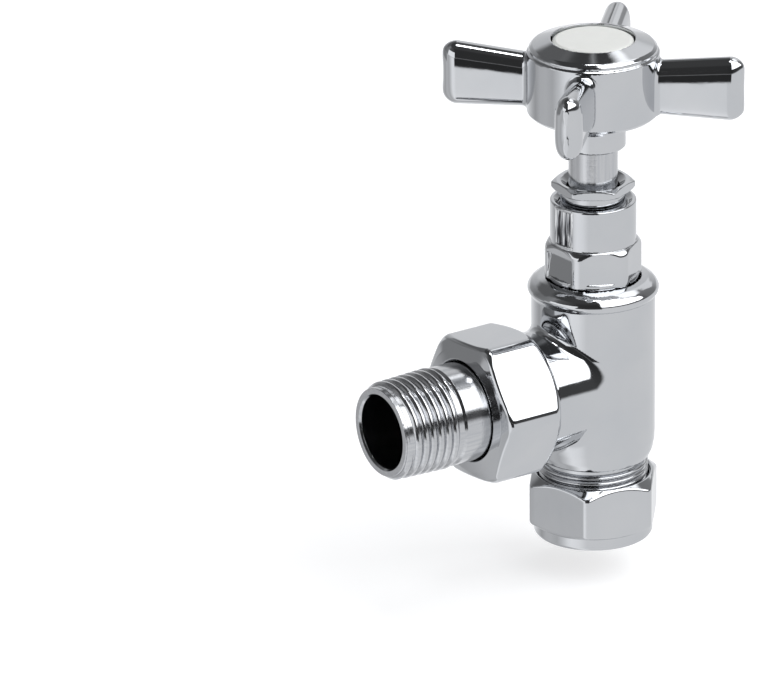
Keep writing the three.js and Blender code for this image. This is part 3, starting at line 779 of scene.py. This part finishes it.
def make_handle():
    foot, top = HANDLE_LOW[2], HANDLE_HIGH[2]
    hub_outline = filled([
        (6.45, foot, 0.1), (6.75, foot + 0.3, 0.1), (6.75, foot + 4.05, 0.4),
        (7.7, foot + 5.45, 0.5), (12.9, foot + 7.05, 0.4), (13.7, foot + 7.85, 0.3),
        (13.7, top - 2.85, 0.25), (13.2, top - 2.5, 0.15), (13.3, top - 1.95, 0.35),
        (12.6, top - 1.25, 0.5), (8.95, top, 0.12),
    ])
    recess_outline = filled([(8.7, top - 5.8), (8.7, top + 2)])
    socket_outline = filled([(5.4, foot - PAST), (5.4, foot + 2.3)])
    hole_outline = filled([(2.4, foot + 8.5), (2.4, top - 5)])
    root, tip, tip_round = 13.7, 31.4, 3.2
    half_thick, half_broach = 2.9, 3.6

    def arm(u, w, z):
        """A tapering bar with bulging sides, a rounded top and foot, and a rounded end."""
        share = (u - root) / (tip - root)
        upper = top - 4.0 + 1.9 * share
        lower = foot + 7.85 - 0.55 * share
        middle, half_tall = (upper + lower) / 2, (upper - lower) / 2
        a, b = w / half_thick, np.abs(z - middle) / half_tall
        inner = np.sqrt(a**2 + b**4)
        slope = np.hypot(2 * a / half_thick, 4 * b**3 / half_tall)
        bar = 2 * inner * (inner - 1) / np.maximum(slope, 1e-6)
        return meet(bar, u - tip, edge=tip_round)

    def field(x, y, z):
        r = np.hypot(x, y)
        p, q = np.abs(x + y) / math.sqrt(2), np.abs(x - y) / math.sqrt(2)
        arms = np.minimum(arm(p, q, z), arm(q, p, z))
        whole = join(hub_outline(r, z), arms, fillet=0.9)
        broach = np.maximum(np.maximum(np.abs(x), np.abs(y)) - half_broach,
                            np.maximum(foot + 2 - z, z - (foot + 14.9)))
        inside = np.minimum(np.minimum(recess_outline(r, z), socket_outline(r, z)),
                            np.minimum(hole_outline(r, z), broach))
        return cut(whole, inside, edge=0.1)

    cast("handle_casting", field, HANDLE_LOW, HANDLE_HIGH, step=0.31, body="handle", material=CHROME,
         slot="chrome", replaces=["handle"])


def make_cap():
    foot, top = CAP_LOW[2], CAP_HIGH[2]
    lathe("index_cap_button", [
        (0, top - 1.75), (7.4, top - 1.75), (7.4, foot, 0.2), (8.2, foot, 0.2), (8.4, foot + 0.4),
        (8.4, top - 0.55, 0.3), (7.7, top - 0.2, 0.8), (0, top),
    ], body="cap", material=CAP, slot="cap_plastic", replaces=["index_cap"])


make_body()
make_compression_nut()
make_union_nut()
make_tail()
make_bonnet()
make_gland_nut()
make_spindle()
make_handle()
make_cap()

# Pieces that stay as the CAD made them, deep inside, get their slot's material.
for subpart in frame["record"]["subparts"]:
    node = frame["nodes"][subpart["node"]]
    if not node.hide_render:
        node.data.materials.clear()
        node.data.materials.append(MATERIALS[subpart["material_slot"]])


# ---------------------------------------------------------------- stage, light and camera

CAMERA_SIDE = math.radians(35)      # the camera stands this far from +Y towards +X
CAMERA_UP = math.radians(22.3)
toward = Vector((math.sin(CAMERA_SIDE), math.cos(CAMERA_SIDE), 0))
rightward = Vector((-math.cos(CAMERA_SIDE), math.sin(CAMERA_SIDE), 0))
upward = Vector((0, 0, 1))


def make_floor():
    """A white floor, low enough for the compression nut when it is unscrewed."""
    far, level = 6.0, -8.5 * MM
    mesh = bpy.data.meshes.new("floor")
    mesh.from_pydata([(-far, -far, 0), (far, -far, 0), (far, far, 0), (-far, far, 0)], [], [(0, 1, 2, 3)])
    floor = bpy.data.objects.new("floor", mesh)
    floor.location = (0, 0, level)
    bpy.context.scene.collection.objects.link(floor)
    n = Surface("white_floor")
    colour = n.shade(n.noise(3, 2.0), (0.545, 0.545, 0.547), (0.56, 0.56, 0.562))
    mesh.materials.append(n.set(Base_Color=colour, Roughness=0.9, Specular_IOR_Level=0.0,
                                Emission_Color=colour, Emission_Strength=1.15))
    floor.visible_glossy = False


# Light levels at the foot of the room's walls, by direction round the valve in degrees: 0 is the
# camera's side, positive to the right
WALL = [(-180, 0.8), (-165, 0.66), (-140, 0.36), (-115, 0.2), (-95, 0.24), (-82, 0.3), (-70, 0.12),
        (-30, 0.04), (15, 0.03), (95, 0.09), (110, 0.2), (135, 0.25), (160, 0.62), (180, 0.8)]
# Light levels of the white sweep below the horizon, likewise
SWEEP = [(-180, 0.95), (-150, 0.8), (-120, 0.45), (-105, 0.6), (-90, 0.62), (-75, 0.56), (-62, 0.75),
         (-50, 1.0), (-43, 1.08), (-28, 1.02), (-12, 0.83), (60, 0.82), (150, 0.8), (180, 0.95)]
# Things in the room: from and to direction, from and to height in degrees, soft edge, level
PANELS = [
    (-181, 181, 48, 91, 12, 0.06),      # dark ceiling
    (-181, -100, 28, 52, 10, 0.14),     # dim wall at the back on the left
    (-30, 15, -17, 0.5, 3, 0.03),       # the dark room beyond the sweep's front edge
    (-125, -92, -16, 0.5, 3, 0.27),     # dim gap between the sweep and the wall
    (-80, -27, 0, 24, 3, 1.15),         # window at the left
    (15, 100, 20, 80, 3, 2.6),          # large softbox at the right
    (110, 165, 46, 70, 6, 1.6),         # softbox at the back on the right
    (140, 165, 20, 46, 6, 0.9),         # dimmer part below it
    (-181, 181, 83, 91, 2, 8.0),        # overhead lamp
]


def grey(level):
    """A very slightly blue grey."""
    return level, level * 1.01, level * 1.03


def make_world():
    """A studio: white sweep below, dark room beyond the camera, softboxes, grey walls behind."""
    world = bpy.data.worlds.new("studio")
    world.use_nodes = True
    bpy.context.scene.world = world
    world.node_tree.nodes.clear()
    n = Tree(world.node_tree, "Generated")

    def in_degrees(angle):
        return n.maths("MULTIPLY", angle, 180 / math.pi)

    direction = in_degrees(n.maths("ARCTAN2", n.along(rightward), n.along(toward)))
    above = in_degrees(n.maths("ARCSINE", n.along(upward)))
    way_round = n.maths("ADD", n.maths("MULTIPLY", direction, 1 / 360), 0.5)

    def level_ramp(stops):
        return n.ramp(way_round, *[((turn + 180) / 360, grey(level)) for turn, level in stops])

    def within(value, low, high, soft):
        """1 between the limits and 0 outside them, with soft edges."""
        made = []
        for edge, inside in ((low, 1), (high, -1)):
            inputs = {"Value": value, "From Min": edge - inside * soft / 2,
                      "From Max": edge + inside * soft / 2}
            step = n.add("ShaderNodeMapRange", inputs, interpolation_type="SMOOTHSTEP")
            made.append(step.outputs["Result"])
        return n.maths("MULTIPLY", *made)

    # Below the horizon, which is softened, the sweep takes the place of the walls
    light = n.mix(within(above, -100, 0, 6), level_ramp(WALL), level_ramp(SWEEP))
    for left, right, low, high, soft, level in PANELS:
        inside = n.maths("MULTIPLY", within(direction, left, right, soft), within(above, low, high, soft))
        light = n.mix(inside, light, (*grey(level), 1))

    # The camera sees plain white past the valve and the floor, and all other rays see the studio
    seen = n.add("ShaderNodeBackground", {"Color": light})
    backdrop = n.add("ShaderNodeBackground", {"Color": (1, 1, 1, 1)})
    choose = n.add("ShaderNodeMixShader", {
        0: n.add("ShaderNodeLightPath").outputs["Is Camera Ray"],
        1: seen.outputs[0],
        2: backdrop.outputs[0],
    })
    n.add("ShaderNodeOutputWorld", {"Surface": choose.outputs[0]})


def make_camera():
    """The photograph's view: far off with a long lens, aimed a little beside the valve."""
    data = bpy.data.cameras.new("camera")
    data.lens, data.sensor_width = 410.9, 36
    data.clip_start, data.clip_end = 0.1, 30
    distance = 1.8
    aim = Vector((0, 0, BRANCH_Z * MM))
    offset_right = 0.02484              # of the distance: where the aim point stands from the centre
    flatter = math.radians(0.174)       # the camera looks this much flatter than at the aim point
    tilt = CAMERA_UP - flatter
    away = toward * math.cos(tilt) + upward * math.sin(tilt)
    scale = math.sqrt(1 + offset_right**2)
    x_axis = (rightward - away * offset_right) / scale
    z_axis = (rightward * offset_right + away) / scale
    y_axis = z_axis.cross(x_axis)
    camera = bpy.data.objects.new("camera", data)
    place = aim + distance * (toward * math.cos(CAMERA_UP) + upward * math.sin(CAMERA_UP))
    turn = Matrix((x_axis, y_axis, z_axis)).transposed().to_4x4()
    camera.matrix_world = Matrix.Translation(place) @ turn
    bpy.context.scene.collection.objects.link(camera)
    bpy.context.scene.camera = camera


make_floor()
make_world()
make_camera()
bpy.context.scene.view_settings.view_transform = "Standard"

bpy.context.view_layer.update()
